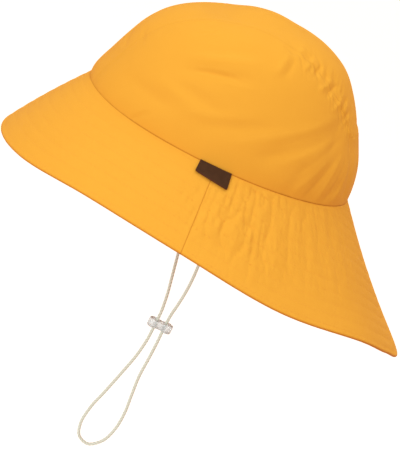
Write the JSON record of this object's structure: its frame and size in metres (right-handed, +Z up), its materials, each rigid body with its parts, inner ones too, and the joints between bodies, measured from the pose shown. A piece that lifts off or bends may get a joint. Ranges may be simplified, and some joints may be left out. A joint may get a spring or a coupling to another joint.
{
  "type": "sailor hat",
  "caption": "Soft cloth sailor hat with a panelled crown, a stitched brim long at the back, a leather label and a chin cord with a lock.",
  "frame": {"origin": "centre of the head opening, in the plane of the seam between crown and brim", "axes": "+Z up out of the crown, +Y towards the long back of the brim, +X towards the wearer's left"},
  "size_m": [0.2508, 0.3098, 0.3315],
  "materials": {
    "cloth": "closely woven matt cotton",
    "label": "dark brown matt leather",
    "cord": "round braided cotton",
    "lock": "clear soft plastic"
  },
  "bodies": {
    "root": {"crown_left": "cloth", "crown_right": "cloth", "crown_strip": "cloth", "brim_front": "cloth", "brim_back": "cloth", "label": "label", "chin_cord": "cord", "cord_lock": "lock"}
  },
  "joints": []
}
